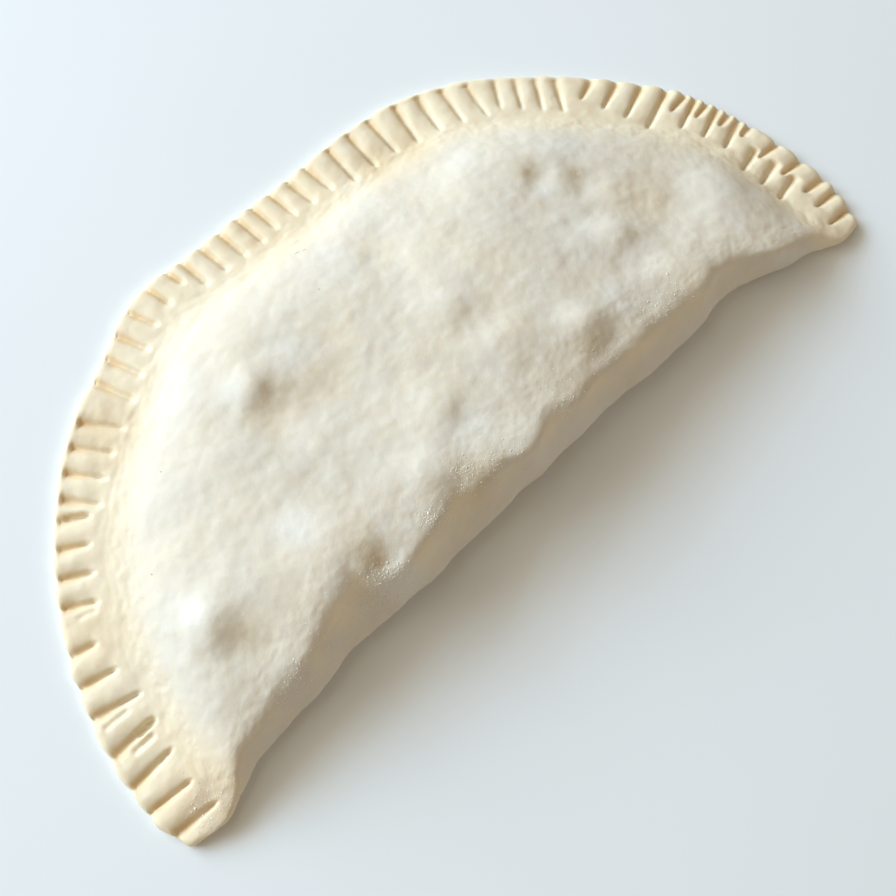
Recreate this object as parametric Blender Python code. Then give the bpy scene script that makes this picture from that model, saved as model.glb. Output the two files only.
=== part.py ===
"""A cheburek: a raw half-moon pie of one folded round of dough, shut along its arc with a fork.

The pie is one closed solid that lies on its flat underside. Its fold runs along X and faces -Y,
and its crimped arc faces +Y. All sizes below are millimetres and degrees, and the mesh is
written in metres, with its origin under the middle of the pie's footprint.

The form is worked out in three steps:
  outline  - a half-moon: a flattened ellipse for the arc, a bowed line for the fold
  section  - the thickness over any point: rim, dome of filling, lumps and fork marks
  mesh     - a UV sphere whose equator is laid on the outline and whose upper and lower halves
             become the pie's top and underside, thinned afterwards by a Decimate modifier
"""

import bpy
import bmesh
import numpy as np

NAME = "cheburek"
MM = 0.001

# Outline
HALF_LENGTH = 108.0         # middle of the fold to either tip
ARC_REACH = 102.3           # middle of the fold to the top of the arc
ARC_ROUNDNESS = 2.25        # 2 is an ellipse, more is squarer
FOLD_HALF_LENGTH = 97.0     # half of the folded edge between the two crimped tips
FOLD_BOW = 8.4              # how far the folded edge is drawn in at its middle
FOLD_START = -1.0           # where the folded edge starts and ends, in Y

# Where the hand-rolled arc is fuller (+) or flatter (-): place in degrees, amount, spread
ARC_SWELLS = (
    (182.0, -3.0, 3.0),
    (163.0, 1.4, 12.0),
    (131.0, 2.0, 10.0),
    (111.5, 3.0, 5.0),
    (88.0, -1.2, 8.0),
    (65.0, 2.6, 9.0),
    (27.0, 2.0, 7.0),
    (-2.0, -4.0, 4.0),
)
# The same along the fold: place in X, amount, spread
FOLD_SWELLS = (
    (-84.0, 1.2, 5.0),
    (-56.0, 0.6, 6.0),
    (-35.0, -0.9, 6.0),
    (25.0, 0.7, 6.0),
    (66.0, 3.2, 9.0),
    (89.0, 1.3, 5.0),
)
# Places in X where the dough is slightly pinched in along the fold
FOLD_PINCHES = (-72.0, -57.0, -39.0, -26.0, -5.5, 6.5, 29.0, 45.0, 59.5)
PINCH_DEPTH = 0.5
PINCH_SPREAD = 2.6

# Section
PIE_HEIGHT = 19.5           # underside to the top of the dome, without its lumps
RIM_THICKNESS = 4.2         # two layers of dough pressed together, at the foot of the dome
RIM_SLOPE = 0.11            # how much thinner they get for each millimetre outwards
RIM_WIDTH = 15.0            # outer edge to the foot of the dome
# Where the dome starts farther in (+) or out (-) than that: place in degrees, how much, spread
FOOT_SWELLS = (
    (145.0, 1.6, 16.0),
)
RIM_EDGE_ROLL = 1.7         # width of the roll of the rim's outer edge
EDGE_SHARE = 0.42           # height of the rim's outermost line, as a share of the rim's there
FOOT_SOFTNESS = 1.3         # how gently the rim turns up into the dome
FLANK_SHARE = 0.56          # share of the dome's height that its flank by the rim takes
FLANK_RUN = 9.5             # how soon that flank levels out
DOME_RUN = 62.0             # foot of the dome to its full height, coming from the arc
DOME_FULLNESS = 1.25        # 1 is a straight slope, more swells sooner
FOLD_BULGE = 0.27           # height of the fold's outermost line, as a share of its shoulder
TIP_BULGE = 0.50            # the same at the tips
TIP_RISE = 0.4              # share of the dome's height from which the fold is at its full form
FOLD_SHOULDER = 11.0        # folded edge to the shoulder above it
FOLD_UNDERCUT = 0.8         # width of the roll under the fold, as a share of the bulge's height
WALL_RISE = 3.6             # how far the fold's wall has risen 1 mm in from the folded edge
WALL_STRAIGHTNESS = 0.75    # 1 is a slanting plane, less is rounder
SHOULDER_SOFTNESS = 1.8     # how gently the fold's wall turns into the top
TIP_SOFTNESS = 0.5          # the same at the flat tips
# Where the fold's wall is steeper (+) or hollower (-): place in X, share of its rise, spread
WALL_SWELLS = (
    (-88.0, -0.12, 4.0),
    (-74.0, -0.24, 6.0),
    (-52.0, -0.22, 4.0),
    (-46.0, -0.25, 2.5),
    (-37.5, 0.20, 3.5),
    (-20.0, -0.22, 3.5),
    (-10.0, 0.06, 3.0),
    (-2.0, 0.46, 3.5),
    (15.0, 0.15, 2.5),
    (40.0, -0.15, 3.5),
    (50.0, -0.16, 2.5),
    (56.5, 0.12, 2.5),
    (77.0, 0.60, 5.0),
    (93.0, -0.50, 3.0),
)

# Lumps and hollows of the filling under the dough: X, Y, height, spread
FILLING_LUMPS = (
    (-90.0, 7.0, 1.2, 6.0),
    (-74.0, 10.5, -1.5, 7.0),
    (-75.3, 31.2, 2.0, 4.0),
    (-70.2, 20.8, -1.4, 4.8),
    (-35.2, 63.1, 1.5, 3.0),
    (-36.8, 53.5, -1.6, 4.8),
    (-22.4, 50.4, -1.2, 5.6),
    (-44.7, 60.8, -0.6, 2.6),
    (-43.6, 25.6, 1.8, 5.6),
    (-40.2, 14.2, -1.8, 3.1),
    (-20.2, 22.0, 1.6, 3.9),
    (-22.0, 17.0, -1.4, 4.8),
    (-9.5, 31.6, 1.3, 3.6),
    (-6.4, 25.6, -0.4, 2.8),
    (8.0, 46.2, 1.6, 4.4),
    (9.0, 40.6, -0.6, 3.7),
    (9.4, 34.2, 1.1, 4.2),
    (7.8, 67.4, -1.6, 4.8),
    (28.2, 24.2, 1.8, 3.5),
    (26.4, 17.0, -1.6, 3.7),
    (34.6, 69.0, 1.2, 7.6),
    (47.8, 57.8, -1.2, 2.8),
    (54.0, 49.8, -1.0, 2.8),
    (49.6, 35.4, 1.7, 3.4),
    (47.6, 30.0, -0.9, 3.7),
    (64.0, 33.0, -1.6, 5.8),
    (56.3, 18.6, 1.8, 6.9),
    (82.4, 30.2, 1.4, 6.0),
    (-24.0, 41.5, -2.3, 12.8),
    (30.0, 76.0, -2.4, 9.0),
    (69.0, 38.0, -2.3, 15.0),
    (48.0, 8.0, -2.4, 18.0),
    (93.0, 6.0, 1.3, 4.0),
    (-64.0, 26.0, 1.2, 12.0),
)

# The fork was pressed down again and again round the arc. For each press: its middle round the
# arc and the way its tines pointed, both in degrees, the number of tines that marked the dough,
# their spacing, how far in from the outer edge the marks begin, how much farther in the last one
# begins than the first, and where they end.
FORK_PRESSES = (
    (176.0, 175.0, 2, 7.0, 12.2, 0.0, 0.2),
    (168.3, 183.0, 2, 7.6, 12.7, 0.0, 0.8),
    (158.5, 166.0, 3, 7.0, 10.3, 4.9, 0.2),
    (144.7, 149.0, 4, 6.6, 9.6, 0.4, 0.6),
    (132.9, 129.0, 4, 6.2, 12.3, -1.6, 1.0),
    (118.4, 112.0, 4, 6.3, 11.2, 2.8, 0.2),
    (108.2, 102.0, 2, 5.9, 8.2, 2.0, 0.2),
    (99.9, 95.0, 4, 5.7, 11.0, 0.0, 0.2),
    (87.5, 95.0, 4, 5.7, 10.7, -1.1, 0.2),
    (75.0, 86.0, 3, 6.5, 13.8, 0.0, 0.8),
    (62.3, 77.5, 4, 6.4, 13.5, 2.0, 1.0),
    (49.8, 58.0, 4, 5.4, 11.3, -1.4, 0.8),
    (36.8, 20.0, 4, 6.2, 11.3, -5.9, 0.2),
    (24.3, 19.0, 3, 6.3, 12.0, 0.0, 0.2),
    (24.4, 7.0, 4, 6.0, 7.0, 2.3, 0.2),
    (14.0, 12.0, 3, 6.3, 15.2, 0.0, 5.4),
    (11.8, -6.0, 3, 7.0, 8.6, 0.0, 0.2),
    (4.0, -3.0, 2, 5.5, 9.7, 0.0, 0.2),
)
TINE_HALF_WIDTH = 0.30      # half the width of a mark's slit half way down, at its inner end
TINE_HALF_WIDTH_OUT = 0.7   # the same at its outer end
TINE_DEPTH = 1.2            # depth of the slit at its inner end, where the tine's tip went in
TINE_DEPTH_OUT = 0.3        # depth of the slit at its outer end
FINGER_DROP = 0.3           # how far the dough between two marks is rounded off, at its inner end
FINGER_DROP_OUT = 1.2       # the same at its outer end
FINGER_FULLNESS = 1.8       # 1 is a plain ridge, more is a flatter top
TINE_END = 2.2              # length over which a mark's inner end drops away
TINE_FADE = 1.0             # length over which its outer end runs out
# Where the fork was pressed down less: place in degrees, share of the depth, spread
LIGHT_PRESSES = (
    (52.0, 0.50, 10.0),
)
SCALLOP_INSET = 1.6         # where the outer edge takes up the marks' relief
SCALLOP_SHARE = 0.36        # how much of it the edge is drawn in or pushed out by

# Mesh
STATIONS = 640              # round the outline
ROLL_RINGS = 6              # rings over the roll of the outer edge
RIM_RINGS = 26              # from there over the rim and the foot of the dome
SIDE_RINGS = 16             # on to the loop round the spine
CORE_RINGS = 42             # on to the middle of the pie
RINGS = ROLL_RINGS + RIM_RINGS + SIDE_RINGS + CORE_RINGS
RIM_RUN = 18.0              # how far in the closely spaced rings reach
RIM_RUN_SHARE = 0.75        # and how far at most, as a share of the way to the spine
OUTLINE_POINTS = 2000       # on the arc, and again on the fold
OUTLINE_STEP = 0.25         # spacing of the evenly spaced points made from them
CORNER_SOFTNESS = 1.0       # how far the corners of the tips are rounded
SPINE_HALF_LENGTH = 91.0    # the line along the middle of the pie that the rings close in on
SPINE_TOP = 47.0            # its Y in the middle
SPINE_DROP = 35.0           # how much lower it is at its ends
SPINE_GAP = 7.0             # half-width of the last ring that goes round it
SPINE_CROWDING = 1.8        # draws the arc's stations to the middle of the spine
SPINE_TIP_TURN = 0.22       # radians of the spine's loop that each blunt tip takes
TRIANGLES = 11600           # after thinning

DOUGH_COLOUR = (0.84, 0.78, 0.64, 1.0)
DOUGH_ROUGHNESS = 0.75


def bell(distance, spread):
    """1 at the middle, fading out to both sides."""
    return np.exp(-0.5 * (distance / spread) ** 2)


def ease(share):
    """0 to 1 with a gentle start and end."""
    share = np.clip(share, 0.0, 1.0)
    return share * share * (3.0 - 2.0 * share)


def arc_radius(angle):
    """Distance from the middle of the fold to the outer edge of the rim."""
    across = np.abs(np.cos(angle)) / HALF_LENGTH
    along = np.abs(np.sin(angle)) / ARC_REACH
    radius = (across ** ARC_ROUNDNESS + along ** ARC_ROUNDNESS) ** (-1.0 / ARC_ROUNDNESS)
    for place, amount, spread in ARC_SWELLS:
        radius = radius + amount * bell(np.degrees(angle) - place, spread)
    return radius


def fold_line(x):
    """Y of the folded edge's outermost line."""
    y = FOLD_START + FOLD_BOW * (1.0 - np.abs(x / FOLD_HALF_LENGTH) ** 4)
    for place, amount, spread in FOLD_SWELLS:
        y = y + amount * bell(x - place, spread)
    for place in FOLD_PINCHES:
        y = y + PINCH_DEPTH * bell(x - place, PINCH_SPREAD)
    return y


def polar_angle(x, y):
    """Angle round the middle of the fold, running on past 0 and 180 at the tips."""
    angle = np.arctan2(y, x)
    return np.where(angle < -0.5 * np.pi, angle + 2.0 * np.pi, angle)


def rim_inset(x, y):
    """How far a point lies inside the outer edge of the rim."""
    return arc_radius(polar_angle(x, y)) - np.hypot(x, y)


def foot_inset(x, y):
    """The same, as if the dome started RIM_WIDTH in everywhere."""
    place = np.degrees(polar_angle(x, y))
    inset = rim_inset(x, y)
    for foot_place, amount, spread in FOOT_SWELLS:
        inset = inset - amount * bell(place - foot_place, spread)
    return inset


def dome_rise(inset):
    """Share of the dome's height at a distance in from the outer edge of the rim."""
    inside = FOOT_SOFTNESS * np.logaddexp(0.0, (inset - RIM_WIDTH) / FOOT_SOFTNESS)
    flank = 1.0 - np.exp(-inside / FLANK_RUN)
    slope = 1.0 - (1.0 - np.minimum(inside / DOME_RUN, 1.0)) ** DOME_FULLNESS
    return FLANK_SHARE * flank + (1.0 - FLANK_SHARE) * slope


def fold_rise(x):
    """Share of the dome's height that the shoulder above the fold reaches."""
    x = np.clip(x, -FOLD_HALF_LENGTH, FOLD_HALF_LENGTH)
    return dome_rise(foot_inset(x, fold_line(x) + FOLD_SHOULDER))


def bulge_height(x):
    """Height of the fold's outermost line."""
    rise = fold_rise(x)
    share = TIP_BULGE + (FOLD_BULGE - TIP_BULGE) * ease(rise / TIP_RISE)
    return share * (RIM_THICKNESS + (PIE_HEIGHT - RIM_THICKNESS) * rise)


def wall_rise(x):
    """How far the fold's wall has risen 1 mm in from the folded edge."""
    share = 1.0
    for place, amount, spread in WALL_SWELLS:
        share = share + amount * bell(x - place, spread)
    return WALL_RISE * share


def plain_height(inset):
    """Height of the rim and the dome at a distance in from the outer edge of the rim."""
    rim = RIM_THICKNESS - RIM_SLOPE * np.maximum(RIM_WIDTH - inset, 0.0)
    return rim + (PIE_HEIGHT - RIM_THICKNESS) * dome_rise(inset)


def lumps(x, y):
    """Lumps and hollows that the filling makes in the dough."""
    relief = np.zeros_like(x)
    for lump_x, lump_y, height, spread in FILLING_LUMPS:
        relief += height * bell(np.hypot(x - lump_x, y - lump_y), spread)
    return relief


def tine_marks():
    """Middle, pointing direction, half-length and half-spacing of every mark of the fork."""
    for place, pointing, tines, spacing, inner, slant, outer in FORK_PRESSES:
        place = np.radians(place)
        heading = np.radians(pointing)
        lean = np.cos(heading - place)
        for tine in range(tines):
            side = tine / (tines - 1) - 0.5
            angle = place + side * (tines - 1) * spacing / arc_radius(place) / lean
            start = inner + slant * side
            reach = arc_radius(angle) - 0.5 * (start + outer)
            middle = (reach * np.cos(angle), reach * np.sin(angle))
            half_length = 0.5 * (start - outer) / lean
            yield middle, (np.cos(heading), np.sin(heading)), half_length, 0.5 * spacing


def fork_relief(x, y):
    """Depth of the fork's marks: slits with the dough rounded off on both sides."""
    depth = np.zeros_like(x)
    for middle, heading, half_length, half_spacing in tine_marks():
        along = (x - middle[0]) * heading[0] + (y - middle[1]) * heading[1]
        beside = np.abs((y - middle[1]) * heading[0] - (x - middle[0]) * heading[1])
        share = np.clip(0.5 + 0.5 * along / half_length, 0.0, 1.0)
        ends = ease((along + half_length) / TINE_END) * ease((half_length - along) / TINE_FADE)
        half_width = TINE_HALF_WIDTH + (TINE_HALF_WIDTH_OUT - TINE_HALF_WIDTH) * share
        slit = bell(beside, half_width)
        slit *= TINE_DEPTH + (TINE_DEPTH_OUT - TINE_DEPTH) * share
        finger = np.clip(1.0 - beside / half_spacing, 0.0, 1.0) ** FINGER_FULLNESS
        finger *= FINGER_DROP + (FINGER_DROP_OUT - FINGER_DROP) * share
        depth = np.maximum(depth, (slit + finger) * ends)
    place = np.degrees(polar_angle(x, y))
    for light_place, share, spread in LIGHT_PRESSES:
        depth *= 1.0 - share * bell(place - light_place, spread)
    return depth


def top_height(x, y):
    """Height of the top of the pie, without the roll of the rim's outer edge."""
    full = plain_height(foot_inset(x, y)) + lumps(x, y) - fork_relief(x, y)
    fold_x = np.clip(x, -FOLD_HALF_LENGTH, FOLD_HALF_LENGTH)
    inside = np.maximum(y - fold_line(fold_x), 0.0)
    wall = bulge_height(fold_x) + wall_rise(fold_x) * inside ** WALL_STRAIGHTNESS
    full_form = ease(fold_rise(fold_x) / TIP_RISE)
    softness = TIP_SOFTNESS + (SHOULDER_SOFTNESS - TIP_SOFTNESS) * full_form
    return -softness * np.logaddexp(-full / softness, -wall / softness)


def soften(values, spread):
    """Round off a closed run of evenly spaced values."""
    reach = int(3.0 * spread / OUTLINE_STEP)
    offsets = np.arange(-reach, reach + 1)
    weights = bell(offsets * OUTLINE_STEP, spread)
    weights /= weights.sum()
    return sum(weight * np.roll(values, offset) for weight, offset in zip(weights, offsets))


def outline():
    """Closed outline from the right tip round the arc and back along the fold.

    Gives for each station its X and Y, its share in the fold, and where the spine's loop is
    that the rings run to from there: the share of the spine's length and the side.
    """
    angle = np.linspace(0.0, np.pi, OUTLINE_POINTS)
    crowded = np.sign(np.cos(angle)) * np.abs(np.cos(angle)) ** SPINE_CROWDING
    turn = SPINE_TIP_TURN + (1.0 - 2.0 * SPINE_TIP_TURN / np.pi) * np.arccos(crowded)
    radius = arc_radius(angle) - SCALLOP_INSET
    scallop = SCALLOP_SHARE * fork_relief(radius * np.cos(angle), radius * np.sin(angle))
    radius = radius + SCALLOP_INSET - scallop
    arc = np.stack([radius * np.cos(angle), radius * np.sin(angle), np.zeros_like(angle), turn])
    x = np.linspace(-FOLD_HALF_LENGTH, FOLD_HALF_LENGTH, OUTLINE_POINTS)
    turn = np.pi + np.arccos(-x / FOLD_HALF_LENGTH)
    fold = np.stack([x, fold_line(x), np.ones_like(x), turn])
    closing = arc[:, :1] + np.array([[0.0], [0.0], [0.0], [2.0 * np.pi]])
    rough = np.concatenate([arc, fold, closing], axis=1)

    steps = np.hypot(np.diff(rough[0]), np.diff(rough[1]))
    length = np.concatenate([[0.0], np.cumsum(steps)])
    even = np.arange(0.0, length[-1], OUTLINE_STEP)
    x, y, foldness, turn = [np.interp(even, length, row) for row in rough]
    rows = [soften(row, CORNER_SOFTNESS) for row in (x, y, foldness, np.cos(turn), np.sin(turn))]
    stations = np.arange(STATIONS) * length[-1] / STATIONS
    return np.stack([np.interp(stations, even, row, period=length[-1]) for row in rows])


def ring_points():
    """X and Y of every ring at every station, its distance in, and the outline's values."""
    border_x, border_y, foldness, spine_share, side = outline()

    def loop(shrink):
        x = SPINE_HALF_LENGTH * spine_share * shrink
        y = SPINE_TOP - SPINE_DROP * (x / SPINE_HALF_LENGTH) ** 2 + SPINE_GAP * side * shrink
        return x, y

    loop_x, loop_y = loop(1.0)
    ray = np.hypot(loop_x - border_x, loop_y - border_y)
    squeeze = np.minimum(1.0, RIM_RUN_SHARE * ray / RIM_RUN)
    xs, ys, distances = [], [], []
    for ring in range(RINGS + 1):
        if ring <= ROLL_RINGS:
            turn = 0.5 * np.pi * ring / ROLL_RINGS
            distance = RIM_EDGE_ROLL * (1.0 - np.cos(turn)) * squeeze
        elif ring <= ROLL_RINGS + RIM_RINGS:
            share = (ring - ROLL_RINGS) / RIM_RINGS
            distance = (RIM_EDGE_ROLL + (RIM_RUN - RIM_EDGE_ROLL) * share) * squeeze
        elif ring <= RINGS - CORE_RINGS:
            share = (ring - ROLL_RINGS - RIM_RINGS) / SIDE_RINGS
            distance = RIM_RUN * squeeze + (ray - RIM_RUN * squeeze) * share
        else:
            distance = ray
        if ring <= RINGS - CORE_RINGS:
            x = border_x + (loop_x - border_x) * distance / ray
            y = border_y + (loop_y - border_y) * distance / ray
        else:
            x, y = loop((RINGS - ring) / CORE_RINGS)
        xs.append(x)
        ys.append(y)
        distances.append(distance)
    return np.stack(xs), np.stack(ys), np.stack(distances), foldness


def roll(distance, width):
    """Quarter round: 0 on the border and 1 from the given distance in."""
    share = np.clip(distance / width, 0.0, 1.0)
    return np.sqrt(1.0 - (1.0 - share) ** 2)


def surfaces():
    """X, Y and the heights of the top and the underside, for each ring and station."""
    x, y, distance, foldness = ring_points()
    top = top_height(x, y)
    edge = EDGE_SHARE * top[ROLL_RINGS]
    edge += (top[0] - edge) * foldness
    edge_roll = roll(distance, RIM_EDGE_ROLL)
    edge_roll = edge_roll + (1.0 - edge_roll) * foldness
    top = edge + (top - edge) * edge_roll
    under = edge * (1.0 - roll(distance, FOLD_UNDERCUT * edge))
    top[0] = under[0] = edge
    return x, y, top, under


def lay_on_pie(sphere):
    """Where the points of a UV sphere go: its equator to the outline, its halves to the pie's
    top and underside."""
    x, y, top, under = surfaces()
    centre_x = 0.5 * (x.min() + x.max())
    centre_y = 0.5 * (y.min() + y.max())
    latitude = np.arctan2(sphere[:, 2], np.hypot(sphere[:, 0], sphere[:, 1]))
    longitude = np.arctan2(sphere[:, 1], sphere[:, 0])
    ring = np.rint(np.abs(latitude) / (0.5 * np.pi) * RINGS).astype(int)
    station = np.rint(longitude / (2.0 * np.pi) * STATIONS).astype(int) % STATIONS
    height = np.where(latitude >= 0.0, top[ring, station], under[ring, station])
    return np.stack([
        x[ring, station] - centre_x,
        y[ring, station] - centre_y,
        height,
    ], axis=1) * MM


def make_dough_material():
    material = bpy.data.materials.new("dough")
    material.use_nodes = True
    shader = material.node_tree.nodes["Principled BSDF"]
    shader.inputs["Base Color"].default_value = DOUGH_COLOUR
    shader.inputs["Roughness"].default_value = DOUGH_ROUGHNESS
    return material


def make_pie(collection):
    bm = bmesh.new()
    bmesh.ops.create_uvsphere(bm, u_segments=STATIONS, v_segments=2 * RINGS, radius=1.0)
    bmesh.ops.triangulate(bm, faces=bm.faces)
    mesh = bpy.data.meshes.new(NAME)
    bm.to_mesh(mesh)
    bm.free()
    points = np.empty(3 * len(mesh.vertices))
    mesh.vertices.foreach_get("co", points)
    mesh.vertices.foreach_set("co", lay_on_pie(points.reshape(-1, 3)).ravel())
    mesh.update()
    mesh.materials.append(make_dough_material())
    mesh.shade_smooth()
    pie = bpy.data.objects.new(NAME, mesh)
    collection.objects.link(pie)
    thin = pie.modifiers.new("thin", "DECIMATE")
    thin.decimate_type = "COLLAPSE"
    thin.ratio = TRIANGLES / len(mesh.polygons)
    return pie


def main():
    for old in list(bpy.data.objects):
        bpy.data.objects.remove(old, do_unlink=True)
    collection = bpy.data.collections.new(NAME)
    bpy.context.scene.collection.children.link(collection)
    make_pie(collection)


main()
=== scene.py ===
"""The looks of the cheburek: a raw half-moon pie of floured dough on a plain pale floor.

The pie of the frame is replaced by the same form at a finer grain, with the small relief of
hand-worked dough, a dusting of flour in its material and loose grains of flour that lie on it.
Shape sizes are millimetres and degrees, in a plan whose origin is the middle of the fold's
chord; lights and camera are in metres, in the frame's own coordinates.
"""

import bmesh
import bpy
import numpy as np
from mathutils import Matrix, Vector, noise
from mathutils.bvhtree import BVHTree
from mathutils.geometry import delaunay_2d_cdt
from mathutils.kdtree import KDTree


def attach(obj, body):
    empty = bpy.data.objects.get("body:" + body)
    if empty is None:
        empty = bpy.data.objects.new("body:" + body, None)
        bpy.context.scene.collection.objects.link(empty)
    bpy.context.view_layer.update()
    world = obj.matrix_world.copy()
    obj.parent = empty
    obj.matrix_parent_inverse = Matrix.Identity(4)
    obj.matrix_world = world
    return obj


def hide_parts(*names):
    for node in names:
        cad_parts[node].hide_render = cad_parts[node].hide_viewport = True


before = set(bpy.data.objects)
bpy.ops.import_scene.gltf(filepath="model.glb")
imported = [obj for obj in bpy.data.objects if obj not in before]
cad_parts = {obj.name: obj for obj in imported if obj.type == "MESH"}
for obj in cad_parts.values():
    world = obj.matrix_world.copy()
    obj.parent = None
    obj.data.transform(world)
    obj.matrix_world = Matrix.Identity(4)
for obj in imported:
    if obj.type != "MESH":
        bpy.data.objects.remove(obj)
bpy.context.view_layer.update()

NODE = "cheburek"
BODY = "root"
MM = 0.001

# ---------------------------------------------------------------- form, as in the part's source

HALF_LENGTH = 108.0         # middle of the fold to either tip
ARC_REACH = 102.3           # middle of the fold to the top of the arc
ARC_ROUNDNESS = 2.25        # 2 is an ellipse, more is squarer
FOLD_HALF_LENGTH = 97.0     # half of the folded edge between the two crimped tips
FOLD_BOW = 8.4              # how far the folded edge is drawn in at its middle
FOLD_START = -1.0           # where the folded edge starts and ends, in Y

# Where the hand-rolled arc is fuller (+) or flatter (-): place in degrees, amount, spread
ARC_SWELLS = (
    (182.0, -3.0, 3.0),
    (163.0, 1.4, 12.0),
    (131.0, 2.0, 10.0),
    (111.5, 3.0, 5.0),
    (88.0, -1.2, 8.0),
    (65.0, 2.6, 9.0),
    (27.0, 2.0, 7.0),
    (-2.0, -4.0, 4.0),
)
# The same along the fold: place in X, amount, spread
FOLD_SWELLS = (
    (-84.0, 1.2, 5.0),
    (-56.0, 0.6, 6.0),
    (-35.0, -0.9, 6.0),
    (25.0, 0.7, 6.0),
    (66.0, 3.2, 9.0),
    (89.0, 1.3, 5.0),
)
# Places in X where the dough is slightly pinched in along the fold
FOLD_PINCHES = (-72.0, -57.0, -39.0, -26.0, -5.5, 6.5, 29.0, 45.0, 59.5)
PINCH_DEPTH = 0.5           # how deep a pinch is
PINCH_SPREAD = 2.6          # and how far it runs along the fold

PIE_HEIGHT = 19.5           # underside to the top of the dome, without its lumps
RIM_THICKNESS = 4.2         # two layers of dough pressed together, at the foot of the dome
RIM_SLOPE = 0.11            # how much thinner they get for each millimetre outwards
RIM_WIDTH = 15.0            # outer edge to the foot of the dome
# Where the dome starts farther in (+) or out (-) than that: place in degrees, how much, spread
FOOT_SWELLS = (
    (145.0, 1.6, 16.0),
)
RIM_EDGE_ROLL = 1.7         # width of the roll of the rim's outer edge
EDGE_SHARE = 0.42           # height of the rim's outermost line, as a share of the rim's there
FOOT_SOFTNESS = 1.3         # how gently the rim turns up into the dome
FLANK_SHARE = 0.56          # share of the dome's height that its flank by the rim takes
FLANK_RUN = 9.5             # how soon that flank levels out
DOME_RUN = 62.0             # foot of the dome to its full height, coming from the arc
DOME_FULLNESS = 1.25        # 1 is a straight slope, more swells sooner
FOLD_BULGE = 0.27           # height of the fold's outermost line, as a share of its shoulder
TIP_BULGE = 0.50            # the same at the tips
TIP_RISE = 0.4              # share of the dome's height from which the fold is at its full form
FOLD_SHOULDER = 11.0        # folded edge to the shoulder above it
FOLD_UNDERCUT = 0.8         # width of the roll under the fold, as a share of the bulge's height
WALL_RISE = 3.6             # how far the fold's wall has risen 1 mm in from the folded edge
WALL_STRAIGHTNESS = 0.75    # 1 is a slanting plane, less is rounder
SHOULDER_SOFTNESS = 1.8     # how gently the fold's wall turns into the top
TIP_SOFTNESS = 0.5          # the same at the flat tips
# Where the fold's wall is steeper (+) or hollower (-): place in X, share of its rise, spread
WALL_SWELLS = (
    (-88.0, -0.12, 4.0),
    (-74.0, -0.24, 6.0),
    (-52.0, -0.22, 4.0),
    (-46.0, -0.25, 2.5),
    (-37.5, 0.20, 3.5),
    (-20.0, -0.22, 3.5),
    (-10.0, 0.06, 3.0),
    (-2.0, 0.46, 3.5),
    (15.0, 0.15, 2.5),
    (40.0, -0.15, 3.5),
    (50.0, -0.16, 2.5),
    (56.5, 0.12, 2.5),
    (77.0, 0.60, 5.0),
    (93.0, -0.50, 3.0),
)

# Lumps and hollows of the filling under the dough: X, Y, height, spread
FILLING_LUMPS = (
    (-90.0, 7.0, 1.2, 6.0),
    (-74.0, 10.5, -1.5, 7.0),
    (-75.3, 31.2, 2.0, 4.0),
    (-70.2, 20.8, -1.4, 4.8),
    (-35.2, 63.1, 1.5, 3.0),
    (-36.8, 53.5, -1.6, 4.8),
    (-22.4, 50.4, -1.2, 5.6),
    (-44.7, 60.8, -0.6, 2.6),
    (-43.6, 25.6, 1.8, 5.6),
    (-40.2, 14.2, -1.8, 3.1),
    (-20.2, 22.0, 1.6, 3.9),
    (-22.0, 17.0, -1.4, 4.8),
    (-9.5, 31.6, 1.3, 3.6),
    (-6.4, 25.6, -0.4, 2.8),
    (8.0, 46.2, 1.6, 4.4),
    (9.0, 40.6, -0.6, 3.7),
    (9.4, 34.2, 1.1, 4.2),
    (7.8, 67.4, -1.6, 4.8),
    (28.2, 24.2, 1.8, 3.5),
    (26.4, 17.0, -1.6, 3.7),
    (34.6, 69.0, 1.2, 7.6),
    (47.8, 57.8, -1.2, 2.8),
    (54.0, 49.8, -1.0, 2.8),
    (49.6, 35.4, 1.7, 3.4),
    (47.6, 30.0, -0.9, 3.7),
    (64.0, 33.0, -1.6, 5.8),
    (56.3, 18.6, 1.8, 6.9),
    (82.4, 30.2, 1.4, 6.0),
    (-24.0, 41.5, -2.3, 12.8),
    (30.0, 76.0, -2.4, 9.0),
    (69.0, 38.0, -2.3, 15.0),
    (48.0, 8.0, -2.4, 18.0),
    (93.0, 6.0, 1.3, 4.0),
    (-64.0, 26.0, 1.2, 12.0),
)

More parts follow.
